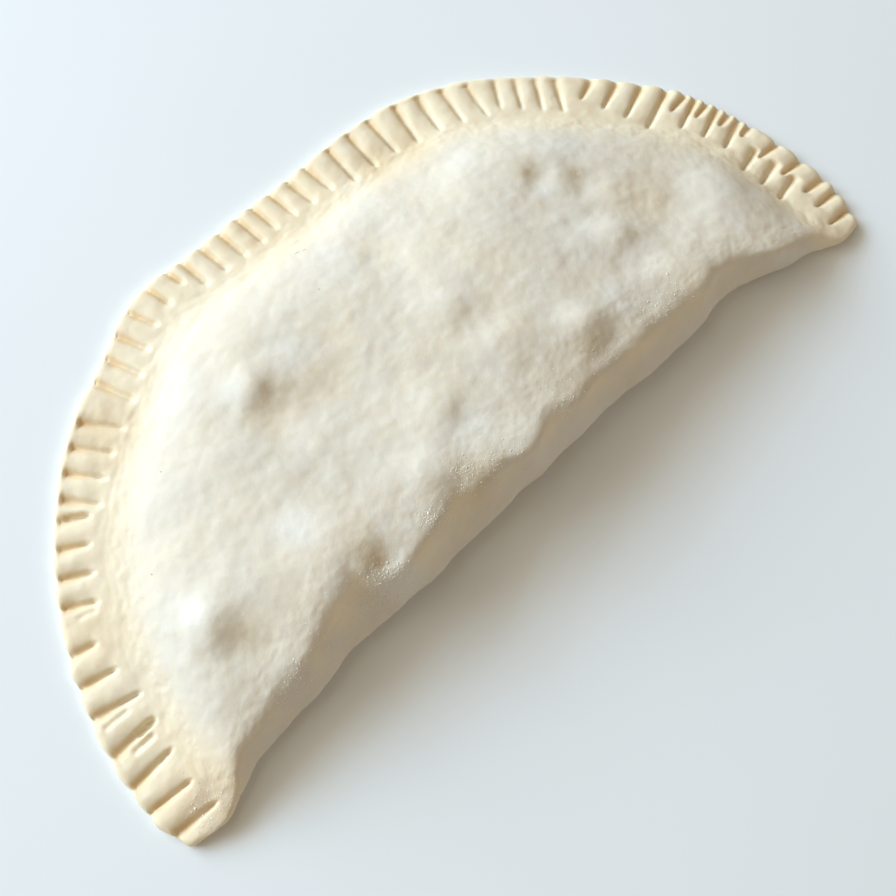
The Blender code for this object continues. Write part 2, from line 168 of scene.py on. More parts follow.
# The fork was pressed down again and again round the arc. For each press: its middle round the
# arc and the way its tines pointed, both in degrees, the number of tines that marked the dough,
# their spacing, how far in from the outer edge the marks begin, how much farther in the last one
# begins than the first, and where they end.
FORK_PRESSES = (
    (176.0, 175.0, 2, 7.0, 12.2, 0.0, 0.2),
    (168.3, 183.0, 2, 7.6, 12.7, 0.0, 0.8),
    (158.5, 166.0, 3, 7.0, 10.3, 4.9, 0.2),
    (144.7, 149.0, 4, 6.6, 9.6, 0.4, 0.6),
    (132.9, 129.0, 4, 6.2, 12.3, -1.6, 1.0),
    (118.4, 112.0, 4, 6.3, 11.2, 2.8, 0.2),
    (108.2, 102.0, 2, 5.9, 8.2, 2.0, 0.2),
    (99.9, 95.0, 4, 5.7, 11.0, 0.0, 0.2),
    (87.5, 95.0, 4, 5.7, 10.7, -1.1, 0.2),
    (75.0, 86.0, 3, 6.5, 13.8, 0.0, 0.8),
    (62.3, 77.5, 4, 6.4, 13.5, 2.0, 1.0),
    (49.8, 58.0, 4, 5.4, 11.3, -1.4, 0.8),
    (36.8, 20.0, 4, 6.2, 11.3, -5.9, 0.2),
    (24.3, 19.0, 3, 6.3, 12.0, 0.0, 0.2),
    (24.4, 7.0, 4, 6.0, 7.0, 2.3, 0.2),
    (14.0, 12.0, 3, 6.3, 15.2, 0.0, 5.4),
    (11.8, -6.0, 3, 7.0, 8.6, 0.0, 0.2),
    (4.0, -3.0, 2, 5.5, 9.7, 0.0, 0.2),
)
TINE_HALF_WIDTH = 0.30      # half the width of a mark's slit half way down, at its inner end
TINE_HALF_WIDTH_OUT = 0.7   # the same at its outer end
TINE_DEPTH = 1.2            # depth of the slit at its inner end, where the tine's tip went in
TINE_DEPTH_OUT = 0.3        # depth of the slit at its outer end
FINGER_DROP = 0.3           # how far the dough between two marks is rounded off, at its inner end
FINGER_DROP_OUT = 1.2       # the same at its outer end
FINGER_FULLNESS = 1.8       # 1 is a plain ridge, more is a flatter top
TINE_END = 2.2              # length over which a mark's inner end drops away
TINE_FADE = 1.0             # length over which its outer end runs out
# Where the fork was pressed down less: place in degrees, share of the depth, spread
LIGHT_PRESSES = (
    (52.0, 0.50, 10.0),
)
SCALLOP_INSET = 1.6         # where the outer edge takes up the marks' relief
SCALLOP_SHARE = 0.36        # how much of it the edge is drawn in or pushed out by

# ---------------------------------------------------------------- small relief of the dough

# Layers of unevenness: size of the bumps, their height and a shift to draw others
DOME_UNEVENNESS = (
    (15.0, 0.50, 11.3),
    (6.5, 0.26, 22.6),
    (3.0, 0.150, 33.9),
    (1.4, 0.085, 45.2),
    (0.7, 0.045, 90.4),
)
# The same on the rim and down the fold
RIM_UNEVENNESS = (
    (9.0, 0.30, 56.5),
    (3.2, 0.17, 67.8),
    (1.3, 0.050, 79.1),
)
# Streaks that run round the foot of the dome: spacing, length, height and a shift
FOOT_STREAKS = (
    (2.8, 4.5, 0.18, 5.5),
    (1.1, 2.2, 0.11, 6.6),
)
STREAK_INSET = 13.8         # where they are deepest, in from the outer edge
STREAK_SPREAD = 2.6         # how far to both sides of that they reach
DOME_GRAIN_START = 10.0     # how far in from the outer edge the dome's unevenness starts
DOME_GRAIN_RUN = 6.0        # and over what length it takes over from the rim's
SEAM_DEPTH = 0.35           # the line between the two layers of dough round the rim's edge
SEAM_SPREAD = 0.25          # half of its width
SEAM_HEIGHT = 0.95          # and its height above the floor
SEAM_START = 2.0            # how far in from the outer edge it starts to show
SEAM_RUN = 1.5              # and over what length it gets its full depth
SEAM_FOLD_GAP = 1.0         # how far from the fold it ends at the tips
SEAM_FOLD_RUN = 3.0         # and over what length it fades there
FLAT_HEIGHT = 0.3           # up to here the dough is smooth where it lies on the floor
FLAT_RUN = 1.5              # and over what height the relief comes to the full

# Creases in the crimped rim: from X, Y to X, Y, depth and half-width
CREASES = (
    (-94.3, 24.4, -100.5, 24.5, 0.8, 0.45),
    (-96.4, 22.3, -103.3, 22.6, 0.9, 0.55),
    (-97.1, 29.8, -104.7, 30.1, 0.6, 0.45),
    (-88.9, 49.9, -94.5, 51.7, 0.4, 0.45),
    (-77.8, 66.9, -83.2, 70.5, 0.6, 0.40),
)
CREASE_FADE = 1.5           # length over which a crease's ends run out

# ---------------------------------------------------------------- flour, bare dough, painted shade and painted highlight

RIM_FLOUR = 0.40            # how much of the dome's flour the rim has
DOME_FLOUR_START = 2.0      # how far out from the foot of the dome its thicker flour starts
DOME_FLOUR_RUN = 9.0        # and over what length it gets to the full
WALL_FLOUR = 0.12           # how much the fold's wall has under its shoulder
EDGE_FLOUR_AND_BOUNCE = 1.00           # and how much along the folded edge, partly painted light that the floor throws back onto the fold's foot
EDGE_FLOUR_AND_BOUNCE_RUN = 8.0        # how far up from the folded edge that reaches
CLUMP_FLOUR = 0.30          # what a clump of loose grains adds
HOLLOW_BARENESS_AND_SHADE = 0.30      # share of the flour that is missing in the deepest hollows, partly painted warm shade
HOLLOW_DEPTH = 1.8          # how deep those are
HOLLOW_SPREAD = 6.0         # wider ones keep their flour
HOLLOW_SHADE_LEAN = (-1.3, 2.5)   # how far the bare places lie beside the hollows' bottoms, in X and Y: towards the light, on the hollows' shaded side, as painted warm shade

# Where flour lies thick, partly a painted highlight on the lumps' lit sides: X, Y, share, spread
THICK_FLOUR_AND_HIGHLIGHT = (
    (36.9, 23.8, 0.7, 3.5),
    (42.9, 42.1, 0.6, 6.0),
    (48.8, 33.5, 0.5, 5.0),
    (59.2, 58.8, 0.6, 4.0),
    (45.6, 54.2, 0.7, 2.6),
    (39.1, 72.2, 0.4, 4.0),
    (-39.4, 11.1, 0.6, 3.0),
    (-38.5, 63.5, 0.55, 3.2),
    (-24.5, 63.0, 0.6, 3.5),
    (-8.2, 23.4, 0.7, 4.0),
    (-48.6, 32.3, 0.75, 3.2),
    (-75.2, 34.3, 0.6, 3.2),
    (77.0, 30.0, 0.5, 4.5),
)
# Where bare, yellower dough shows, in places painted shade on the rim's grooves: X, Y, share, spread
BARE_DOUGH_AND_SHADE_PATCHES = (
    (-97.0, 6.0, 0.55, 6.0),
    (25.1, 88.5, 0.45, 5.0),
    (33.5, 86.5, 0.45, 5.0),
    (-64.5, 79.5, 0.35, 6.0),
    (-8.0, 95.0, 0.30, 9.0),
    (8.0, 94.0, 0.25, 6.0),
    (-94.6, 46.2, 0.35, 4.0),
)
# Painted shade: darker dough painted where hollows and the rim's grooves lie in shade: X, Y, share,
# spread
PAINTED_SHADE_PATCHES = (
    (-41.6, 16.4, 0.80, 2.0),
    (-33.0, 60.8, 0.45, 2.6),
    (-69.5, 21.5, 0.40, 3.0),
    (-72.4, 26.4, 0.25, 2.2),
    (55.2, 53.5, 0.90, 1.5),
    (46.5, 60.5, 0.75, 1.4),
    (52.7, 32.5, 0.70, 1.3),
    (-14.1, 15.9, 0.75, 3.4),
    (15.5, 17.1, 0.50, 2.6),
    (25.5, 19.0, 0.40, 2.6),
    (25.1, 89.5, 0.50, 3.6),
    (32.8, 87.2, 0.50, 3.6),
    (-60.6, 79.6, 0.40, 3.6),
    (-68.3, 81.1, 0.40, 3.6),
)

PRESSED_AND_SHADE_START = 2.5         # how far in from the outer edge the marks' bare dough and painted warm shade show fully
PRESSED_AND_SHADE_RUN = 7.5           # and over what length it fades from there
PRESSED_AND_SHADE_LOW = 0.5           # height above the floor up to which it doesn't show

# Where loose grains of flour lie in clumps: X, Y, spread, number of grains
GRAIN_CLUMPS = (
    (-43.5, 12.8, 2.2, 120),
    (-39.7, 10.9, 2.0, 130),
    (-46.8, 10.6, 2.6, 60),
    (-39.3, 8.0, 1.8, 40),
    (-49.0, 14.2, 2.0, 40),
    (-28.0, 15.2, 1.6, 60),
    (-23.5, 15.0, 2.6, 50),
    (-15.5, 17.6, 2.2, 80),
    (-10.0, 15.0, 2.4, 50),
    (-3.3, 12.6, 1.8, 40),
    (12.0, 15.6, 3.2, 60),
    (26.1, 15.9, 2.6, 45),
    (42.1, 16.5, 3.2, 90),
    (49.5, 14.4, 2.6, 40),
    (-69.4, 8.8, 2.0, 50),
    (-72.9, 9.0, 1.4, 45),
    (-67.0, 10.2, 1.6, 40),
    (-58.7, 11.0, 2.2, 30),
    (-97.1, 6.1, 2.2, 60),
    (-93.5, 2.6, 1.8, 50),
    (-99.5, 1.6, 1.6, 40),
)
CLUMP_GRAIN = 0.10          # usual half-size of a grain in a clump
CLUMP_CROWDING = 2.8        # grains for each one counted above, the rest of them too small to count
DUSTING = 1600              # number of single grains over the whole pie
DUSTING_GRAIN = 0.055       # and their usual half-size
GRAIN_SPREAD = 0.30         # how much the sizes of the grains differ
GRAIN_SINK = 0.60           # share of a grain that is in the dough
GRAIN_FORMS = (0.6, 1.3)    # its half-axes as shares of its half-size, from least to most
DROP_HEIGHT = 60.0          # grains are dropped on the pie from here
# Flecks of bran: X, Y, length, width, direction in degrees
BRAN_FLECKS = (
    (-76.3, 46.9, 0.45, 0.30, 20.0),
    (-61.0, 62.3, 0.40, 0.30, 70.0),
    (-5.6, 82.3, 1.5, 0.16, -22.0),
    (-4.0, 81.6, 1.0, 0.14, -30.0),
    (-9.2, 70.3, 0.35, 0.25, 0.0),
)
BRAN_THICKNESS = 0.10
SEED = 20                   # start of the random draws

# ---------------------------------------------------------------- mesh

# Rings from the border in, over the roll of the edge and over the rim
ROLL_RINGS, RIM_RINGS = 5, 50
STATIONS = 1280             # points in each of them
UNDER_RINGS = 8             # rings of the roll under the border
RIM_RUN = 18.0              # how far in the rings reach
RIM_RUN_SHARE = 0.75        # and how far at most, as a share of the way to the spine
INNER_STEP = 0.65           # spacing of the points inside the rings
UNDER_STEP = 4.0            # the same on the flat underside
RING_GAP = 0.6              # their least distance from the last ring, as a share of their spacing
MERGE_DISTANCE = 1e-6       # points closer than this are one
OUTLINE_POINTS = 2000       # on the arc, and again on the fold
OUTLINE_STEP = 0.25         # spacing of the evenly spaced points made from them
CORNER_SOFTNESS = 1.0       # how far the corners of the tips are rounded
SPINE_HALF_LENGTH = 91.0    # the line along the middle of the pie that the rings close in on
SPINE_TOP = 47.0            # its Y in the middle
SPINE_DROP = 35.0           # how much lower it is at its ends
SPINE_GAP = 7.0             # half-width of the loop round it
SPINE_CROWDING = 1.8        # draws the arc's stations to the middle of the spine
SPINE_TIP_TURN = 0.22       # radians of the spine's loop that each blunt tip takes


def bell(distance, spread):
    """1 at the middle, fading out to both sides."""
    return np.exp(-0.5 * (distance / spread) ** 2)


def ease(share):
    """0 to 1 with a gentle start and end."""
    share = np.clip(share, 0.0, 1.0)
    return share * share * (3.0 - 2.0 * share)


def arc_radius(angle):
    """Distance from the middle of the fold to the outer edge of the rim."""
    across = np.abs(np.cos(angle)) / HALF_LENGTH
    along = np.abs(np.sin(angle)) / ARC_REACH
    radius = (across ** ARC_ROUNDNESS + along ** ARC_ROUNDNESS) ** (-1.0 / ARC_ROUNDNESS)
    for place, amount, spread in ARC_SWELLS:
        radius = radius + amount * bell(np.degrees(angle) - place, spread)
    return radius


def fold_line(x):
    """Y of the folded edge's outermost line."""
    y = FOLD_START + FOLD_BOW * (1.0 - np.abs(x / FOLD_HALF_LENGTH) ** 4)
    for place, amount, spread in FOLD_SWELLS:
        y = y + amount * bell(x - place, spread)
    for place in FOLD_PINCHES:
        y = y + PINCH_DEPTH * bell(x - place, PINCH_SPREAD)
    return y


def polar_angle(x, y):
    """Angle round the middle of the fold, running on past 0 and 180 at the tips."""
    angle = np.arctan2(y, x)
    return np.where(angle < -0.5 * np.pi, angle + 2.0 * np.pi, angle)


def rim_inset(x, y):
    """How far a point lies inside the outer edge of the rim."""
    return arc_radius(polar_angle(x, y)) - np.hypot(x, y)


def foot_inset(x, y):
    """The same, as if the dome started RIM_WIDTH in everywhere."""
    place = np.degrees(polar_angle(x, y))
    inset = rim_inset(x, y)
    for foot_place, amount, spread in FOOT_SWELLS:
        inset = inset - amount * bell(place - foot_place, spread)
    return inset


def dome_rise(inset):
    """Share of the dome's height at a distance in from the outer edge of the rim."""
    inside = FOOT_SOFTNESS * np.logaddexp(0.0, (inset - RIM_WIDTH) / FOOT_SOFTNESS)
    flank = 1.0 - np.exp(-inside / FLANK_RUN)
    slope = 1.0 - (1.0 - np.minimum(inside / DOME_RUN, 1.0)) ** DOME_FULLNESS
    return FLANK_SHARE * flank + (1.0 - FLANK_SHARE) * slope


def fold_rise(x):
    """Share of the dome's height that the shoulder above the fold reaches."""
    x = np.clip(x, -FOLD_HALF_LENGTH, FOLD_HALF_LENGTH)
    return dome_rise(foot_inset(x, fold_line(x) + FOLD_SHOULDER))


def bulge_height(x):
    """Height of the fold's outermost line."""
    rise = fold_rise(x)
    share = TIP_BULGE + (FOLD_BULGE - TIP_BULGE) * ease(rise / TIP_RISE)
    return share * (RIM_THICKNESS + (PIE_HEIGHT - RIM_THICKNESS) * rise)


def wall_rise(x):
    """How far the fold's wall has risen 1 mm in from the folded edge."""
    share = 1.0
    for place, amount, spread in WALL_SWELLS:
        share = share + amount * bell(x - place, spread)
    return WALL_RISE * share


def plain_height(inset):
    """Height of the rim and the dome at a distance in from the outer edge of the rim."""
    rim = RIM_THICKNESS - RIM_SLOPE * np.maximum(RIM_WIDTH - inset, 0.0)
    return rim + (PIE_HEIGHT - RIM_THICKNESS) * dome_rise(inset)


def lumps(x, y):
    """Lumps and hollows that the filling makes in the dough."""
    relief = np.zeros_like(x)
    for lump_x, lump_y, height, spread in FILLING_LUMPS:
        relief += height * bell(np.hypot(x - lump_x, y - lump_y), spread)
    return relief


def small_hollows(x, y):
    """Depth of the small hollows alone."""
    depth = np.zeros_like(x)
    for lump_x, lump_y, height, spread in FILLING_LUMPS:
        if height < 0.0 and spread < HOLLOW_SPREAD:
            depth -= height * bell(np.hypot(x - lump_x, y - lump_y), spread)
    return depth


def tine_marks():
    """Middle, pointing direction, half-length and half-spacing of every mark of the fork."""
    for place, pointing, tines, spacing, inner, slant, outer in FORK_PRESSES:
        place = np.radians(place)
        heading = np.radians(pointing)
        lean = np.cos(heading - place)
        for tine in range(tines):
            side = tine / (tines - 1) - 0.5
            angle = place + side * (tines - 1) * spacing / arc_radius(place) / lean
            start = inner + slant * side
            reach = arc_radius(angle) - 0.5 * (start + outer)
            middle = (reach * np.cos(angle), reach * np.sin(angle))
            half_length = 0.5 * (start - outer) / lean
            yield middle, (np.cos(heading), np.sin(heading)), half_length, 0.5 * spacing


def fork_relief(x, y):
    """Depth of the fork's marks: slits with the dough rounded off on both sides."""
    depth = np.zeros_like(x)
    for middle, heading, half_length, half_spacing in tine_marks():
        along = (x - middle[0]) * heading[0] + (y - middle[1]) * heading[1]
        beside = np.abs((y - middle[1]) * heading[0] - (x - middle[0]) * heading[1])
        share = np.clip(0.5 + 0.5 * along / half_length, 0.0, 1.0)
        ends = ease((along + half_length) / TINE_END) * ease((half_length - along) / TINE_FADE)
        half_width = TINE_HALF_WIDTH + (TINE_HALF_WIDTH_OUT - TINE_HALF_WIDTH) * share
        slit = bell(beside, half_width)
        slit *= TINE_DEPTH + (TINE_DEPTH_OUT - TINE_DEPTH) * share
        finger = np.clip(1.0 - beside / half_spacing, 0.0, 1.0) ** FINGER_FULLNESS
        finger *= FINGER_DROP + (FINGER_DROP_OUT - FINGER_DROP) * share
        depth = np.maximum(depth, (slit + finger) * ends)
    place = np.degrees(polar_angle(x, y))
    for light_place, share, spread in LIGHT_PRESSES:
        depth *= 1.0 - share * bell(place - light_place, spread)
    return depth


def from_fold(x, y):
    """How far a point lies inside the folded edge."""
    return y - fold_line(np.clip(x, -FOLD_HALF_LENGTH, FOLD_HALF_LENGTH))


def top_and_wall(x, y):
    """Height of the top as if it ran on over the fold, and of the fold's wall."""
    top = plain_height(foot_inset(x, y)) + lumps(x, y) - fork_relief(x, y)
    fold_x = np.clip(x, -FOLD_HALF_LENGTH, FOLD_HALF_LENGTH)
    inside = np.maximum(from_fold(x, y), 0.0)
    return top, bulge_height(fold_x) + wall_rise(fold_x) * inside ** WALL_STRAIGHTNESS


def top_height(x, y):
    """Height of the top of the pie, without the roll of the rim's outer edge."""
    top, wall = top_and_wall(x, y)
    full_form = ease(fold_rise(x) / TIP_RISE)
    softness = TIP_SOFTNESS + (SHOULDER_SOFTNESS - TIP_SOFTNESS) * full_form
    return -softness * np.logaddexp(-top / softness, -wall / softness)


def soften(values, spread):
    """Round off a closed run of evenly spaced values."""
    reach = int(3.0 * spread / OUTLINE_STEP)
    offsets = np.arange(-reach, reach + 1)
    weights = bell(offsets * OUTLINE_STEP, spread)
    weights /= weights.sum()
    return sum(weight * np.roll(values, offset) for weight, offset in zip(weights, offsets))


def outline():
    """Closed outline from the right tip round the arc and back along the fold.

    Gives for each station its X and Y, its share in the fold, and where the spine's loop is
    that the rings run to from there: the share of the spine's length and the side.
    """
    angle = np.linspace(0.0, np.pi, OUTLINE_POINTS)
    crowded = np.sign(np.cos(angle)) * np.abs(np.cos(angle)) ** SPINE_CROWDING
    turn = SPINE_TIP_TURN + (1.0 - 2.0 * SPINE_TIP_TURN / np.pi) * np.arccos(crowded)
    radius = arc_radius(angle) - SCALLOP_INSET
    scallop = SCALLOP_SHARE * fork_relief(radius * np.cos(angle), radius * np.sin(angle))
    radius = radius + SCALLOP_INSET - scallop
    arc = np.stack([radius * np.cos(angle), radius * np.sin(angle), np.zeros_like(angle), turn])
    x = np.linspace(-FOLD_HALF_LENGTH, FOLD_HALF_LENGTH, OUTLINE_POINTS)
    turn = np.pi + np.arccos(-x / FOLD_HALF_LENGTH)
    fold = np.stack([x, fold_line(x), np.ones_like(x), turn])
    closing = arc[:, :1] + np.array([[0.0], [0.0], [0.0], [2.0 * np.pi]])
    rough = np.concatenate([arc, fold, closing], axis=1)

    steps = np.hypot(np.diff(rough[0]), np.diff(rough[1]))
    length = np.concatenate([[0.0], np.cumsum(steps)])
    even = np.arange(0.0, length[-1], OUTLINE_STEP)
    x, y, foldness, turn = [np.interp(even, length, row) for row in rough]
    rows = [soften(row, CORNER_SOFTNESS) for row in (x, y, foldness, np.cos(turn), np.sin(turn))]
    stations = np.arange(STATIONS) * length[-1] / STATIONS
    return np.stack([np.interp(stations, even, row, period=length[-1]) for row in rows])


def roll(distance, width):
    """Quarter round: 0 on the border and 1 from the given distance in."""
    share = np.clip(distance / width, 0.0, 1.0)
    return np.sqrt(1.0 - (1.0 - share) ** 2)


class Plan:
    """The outline in plan, and the rings that run in from it towards the spine."""

    def __init__(self):
        self.x, self.y, self.foldness, along_spine, side = outline()
        spine_x = SPINE_HALF_LENGTH * along_spine
        spine_y = SPINE_TOP - SPINE_DROP * along_spine ** 2 + SPINE_GAP * side
        reach = np.hypot(spine_x - self.x, spine_y - self.y)
        self.way_x = (spine_x - self.x) / reach
        self.way_y = (spine_y - self.y) / reach
        self.squeeze = np.minimum(1.0, RIM_RUN_SHARE * reach / RIM_RUN)
        roll_width = RIM_EDGE_ROLL * self.squeeze
        rim = top_height(self.x + self.way_x * roll_width, self.y + self.way_y * roll_width)
        self.edge = EDGE_SHARE * rim
        self.edge += (top_height(self.x, self.y) - self.edge) * self.foldness
        centre_x = 0.5 * (self.x.min() + self.x.max())
        centre_y = 0.5 * (self.y.min() + self.y.max())
        self.centre = np.array([centre_x, centre_y, 0.0])

    def ring(self, distance, lift):
        """The points of a ring at a distance in from the border."""
        x = self.x + self.way_x * distance
        y = self.y + self.way_y * distance
        return np.stack([x, y, lift(x, y, distance)], axis=1)

    def top(self, x, y, distance):
        """Height of the top with the roll of the rim's outer edge."""
        edge_roll = roll(distance, RIM_EDGE_ROLL)
        edge_roll = edge_roll + (1.0 - edge_roll) * self.foldness
        return self.edge + (top_height(x, y) - self.edge) * edge_roll

    def under(self, x, y, distance):
        """Height of the roll under the border."""
        return self.edge * (1.0 - roll(distance, FOLD_UNDERCUT * self.edge))

    def top_rings(self):
        """Rings of the top, from the border in."""
        for number in range(ROLL_RINGS):
            turn = 0.5 * np.pi * number / ROLL_RINGS
            distance = RIM_EDGE_ROLL * (1.0 - np.cos(turn))
            yield self.ring(distance * self.squeeze, self.top)
        for distance in np.linspace(RIM_EDGE_ROLL, RIM_RUN, RIM_RINGS):
            yield self.ring(distance * self.squeeze, self.top)

    def under_rings(self):
        """Rings of the roll under the border, from below the border to the flat underside."""
        for number in range(1, UNDER_RINGS + 1):
            turn = 0.5 * np.pi * number / UNDER_RINGS
            distance = FOLD_UNDERCUT * self.edge * (1.0 - np.cos(turn))
            yield self.ring(distance, self.under)


def inside_points(ring, step):
    """Points of a triangular grid that lie well inside a ring."""
    low = ring.min(axis=0)
    high = ring.max(axis=0)
    row_step = step * np.sqrt(0.75)
    rows = []
    for number, y in enumerate(np.arange(low[1], high[1], row_step)):
        x = np.arange(low[0], high[0], step) + 0.5 * step * (number % 2)
        rows.append(np.stack([x, np.full_like(x, y)], axis=1))
    grid = np.concatenate(rows)
    crossings = np.zeros(len(grid), dtype=int)
    for (x, y), (next_x, next_y) in zip(ring, np.roll(ring, -1, axis=0)):
        if y == next_y:
            continue
        spans = (grid[:, 1] >= min(y, next_y)) & (grid[:, 1] < max(y, next_y))
        crossings += spans & (grid[:, 0] < x + (grid[:, 1] - y) * (next_x - x) / (next_y - y))
    grid = grid[crossings % 2 == 1]
    tree = KDTree(len(ring))
    for number, (x, y) in enumerate(ring):
        tree.insert((x, y, 0.0), number)
    tree.balance()
    return np.array([place for place in grid if tree.find((*place, 0.0))[2] > RING_GAP * step])


class Shell:
    """Points and faces of the pie, gathered ring by ring."""

    def __init__(self):
        self.points = []
        self.faces = []
        self.count = 0

    def add(self, points):
        """Adds points and returns their numbers."""
        numbers = np.arange(self.count, self.count + len(points))
        self.points.append(points)
        self.count += len(points)
        return numbers

    def add_rings(self, rings, outer, facing):
        """Adds rings one inside the other and the faces between them; returns the last."""
        for ring in rings:
            inner = self.add(ring)
            if outer is not None:
                faces = zip(outer, np.roll(outer, -1), np.roll(inner, -1), inner)
                self.faces += [face[::facing] for face in faces]
            outer = inner
        return outer, ring

    def fill(self, numbers, ring, step, lift, facing):
        """Closes a ring with triangles between evenly spread points."""
        inner = inside_points(ring[:, :2], step)
        plan = np.concatenate([ring[:, :2], inner])
        numbers = np.concatenate([numbers, self.add(lift(inner))])
        edges = list(zip(range(len(ring)), [*range(1, len(ring)), 0]))
        places = [Vector(place) for place in plan]
        _, _, faces, origins, _, _ = delaunay_2d_cdt(places, edges, [], 1, MERGE_DISTANCE)
        for face in faces:
            corners = tuple(numbers[origins[corner][0]] for corner in face)
            self.faces.append(corners[::facing])


def make_shell(plan):
    """The pie's form, top and underside."""
    shell = Shell()
    rings = list(plan.top_rings())
    numbers, ring = shell.add_rings(rings, None, 1)

    def on_top(places):
        x, y = places.T
        return np.stack([x, y, top_height(x, y)], axis=1)

    def on_floor(places):
        return np.concatenate([places, np.zeros((len(places), 1))], axis=1)

    shell.fill(numbers, ring, INNER_STEP, on_top, 1)
    border = np.arange(STATIONS)
    numbers, ring = shell.add_rings(plan.under_rings(), border, -1)
    shell.fill(numbers, ring, UNDER_STEP, on_floor, -1)
    return shell


def crease_relief(x, y):
    """Depth of the creases in the crimped dough."""
    depth = np.zeros_like(x)
    for start_x, start_y, end_x, end_y, deep, half_width in CREASES:
        span = np.hypot(end_x - start_x, end_y - start_y)
        heading_x = (end_x - start_x) / span
        heading_y = (end_y - start_y) / span
        along = (x - start_x) * heading_x + (y - start_y) * heading_y
        beside = (y - start_y) * heading_x - (x - start_x) * heading_y
        ends = ease(along / CREASE_FADE) * ease((span - along) / CREASE_FADE)
        depth = np.maximum(depth, deep * bell(beside, half_width) * ends)
    return depth


def unevenness(points, layers):
    """Height of layers of smooth random bumps, in all three dimensions."""
    height = np.zeros(len(points))
    for grain, amount, shift in layers:
        height += amount * np.array([noise.noise(place) for place in points / grain + shift])
    return height


def foot_streaks(x, y, inset):
    """Height of the streaks round the foot of the dome."""
    height = np.zeros(len(x))
    round_rim = polar_angle(x, y) * ARC_REACH
    for spacing, length, amount, shift in FOOT_STREAKS:
        places = np.stack([inset / spacing, round_rim / length, np.full(len(x), shift)], axis=1)
        height += amount * np.array([noise.noise(place) for place in places])
    return height * bell(inset - STREAK_INSET, STREAK_SPREAD)


def fine_relief(points):
    """Height of what is finer than the part's own form, along the surface's normal."""
    x, y, z = points.T
    inset = rim_inset(x, y)
    on_dome = ease((inset - DOME_GRAIN_START) / DOME_GRAIN_RUN)
    relief = on_dome * unevenness(points, DOME_UNEVENNESS)
    relief += (1.0 - on_dome) * unevenness(points, RIM_UNEVENNESS)
    relief += foot_streaks(x, y, inset)
    relief -= crease_relief(x, y)
    relief *= ease((z - FLAT_HEIGHT) / FLAT_RUN)
    on_edge = ease((SEAM_START - inset) / SEAM_RUN)
    on_edge *= ease((from_fold(x, y) - SEAM_FOLD_GAP) / SEAM_FOLD_RUN)
    return relief - SEAM_DEPTH * on_edge * bell(z - SEAM_HEIGHT, SEAM_SPREAD)


def flour_cover(points):
    """How thickly flour lies: full on the dome, thin on the rim, hardly any under the shoulder; more
    along the folded edge, partly painted floor bounce, and less on the shaded side of small hollows,
    partly painted warm shade.
    """
    x, y, _ = points.T
    on_dome = ease((rim_inset(x, y) - RIM_WIDTH + DOME_FLOUR_START) / DOME_FLOUR_RUN)
    cover = RIM_FLOUR + (1.0 - RIM_FLOUR) * on_dome
    # less flour, so tan dough, on the shaded side of small hollows: partly painted warm shade
    hollow = small_hollows(x - HOLLOW_SHADE_LEAN[0], y - HOLLOW_SHADE_LEAN[1])
    cover *= 1.0 - HOLLOW_BARENESS_AND_SHADE * ease(hollow / HOLLOW_DEPTH)
    top, wall = top_and_wall(x, y)
    on_wall = ease(0.5 + 0.5 * (top - wall) / SHOULDER_SOFTNESS) * fold_rise(x)
    # more flour towards the folded edge: partly painted light that the floor throws back onto the
    # fold's foot
    on_edge = 1.0 - ease(from_fold(x, y) / EDGE_FLOUR_AND_BOUNCE_RUN)
    cover += on_wall * (WALL_FLOUR + (EDGE_FLOUR_AND_BOUNCE - WALL_FLOUR) * on_edge - cover)
    for clump_x, clump_y, spread, _ in GRAIN_CLUMPS:
        cover += CLUMP_FLOUR * bell(np.hypot(x - clump_x, y - clump_y), spread)
    return np.minimum(cover, 1.0)


def patches(x, y, places):
    """How strongly a point lies in one of the patches."""
    share = np.zeros_like(x)
    for patch_x, patch_y, amount, spread in places:
        share = np.maximum(share, amount * bell(np.hypot(x - patch_x, y - patch_y), spread))
    return share


def pressed_in(points):
    """How deep a point lies in the outer part of a mark of the fork, from 0 to 1; bare dough and
    painted warm shade go there.
    """
    x, y, z = points.T
    inset = rim_inset(x, y)
    outward = ease(inset / PRESSED_AND_SHADE_START) * (1.0 - ease((inset - PRESSED_AND_SHADE_START) / PRESSED_AND_SHADE_RUN))
    return ease(fork_relief(x, y) / FINGER_DROP_OUT) * outward * ease(z - PRESSED_AND_SHADE_LOW)


def paint(mesh, name, values):
    """Keeps one value a point for the material to read."""
    layer = mesh.attributes.new(name, "FLOAT", "POINT")
    layer.data.foreach_set("value", values.astype(np.float32))


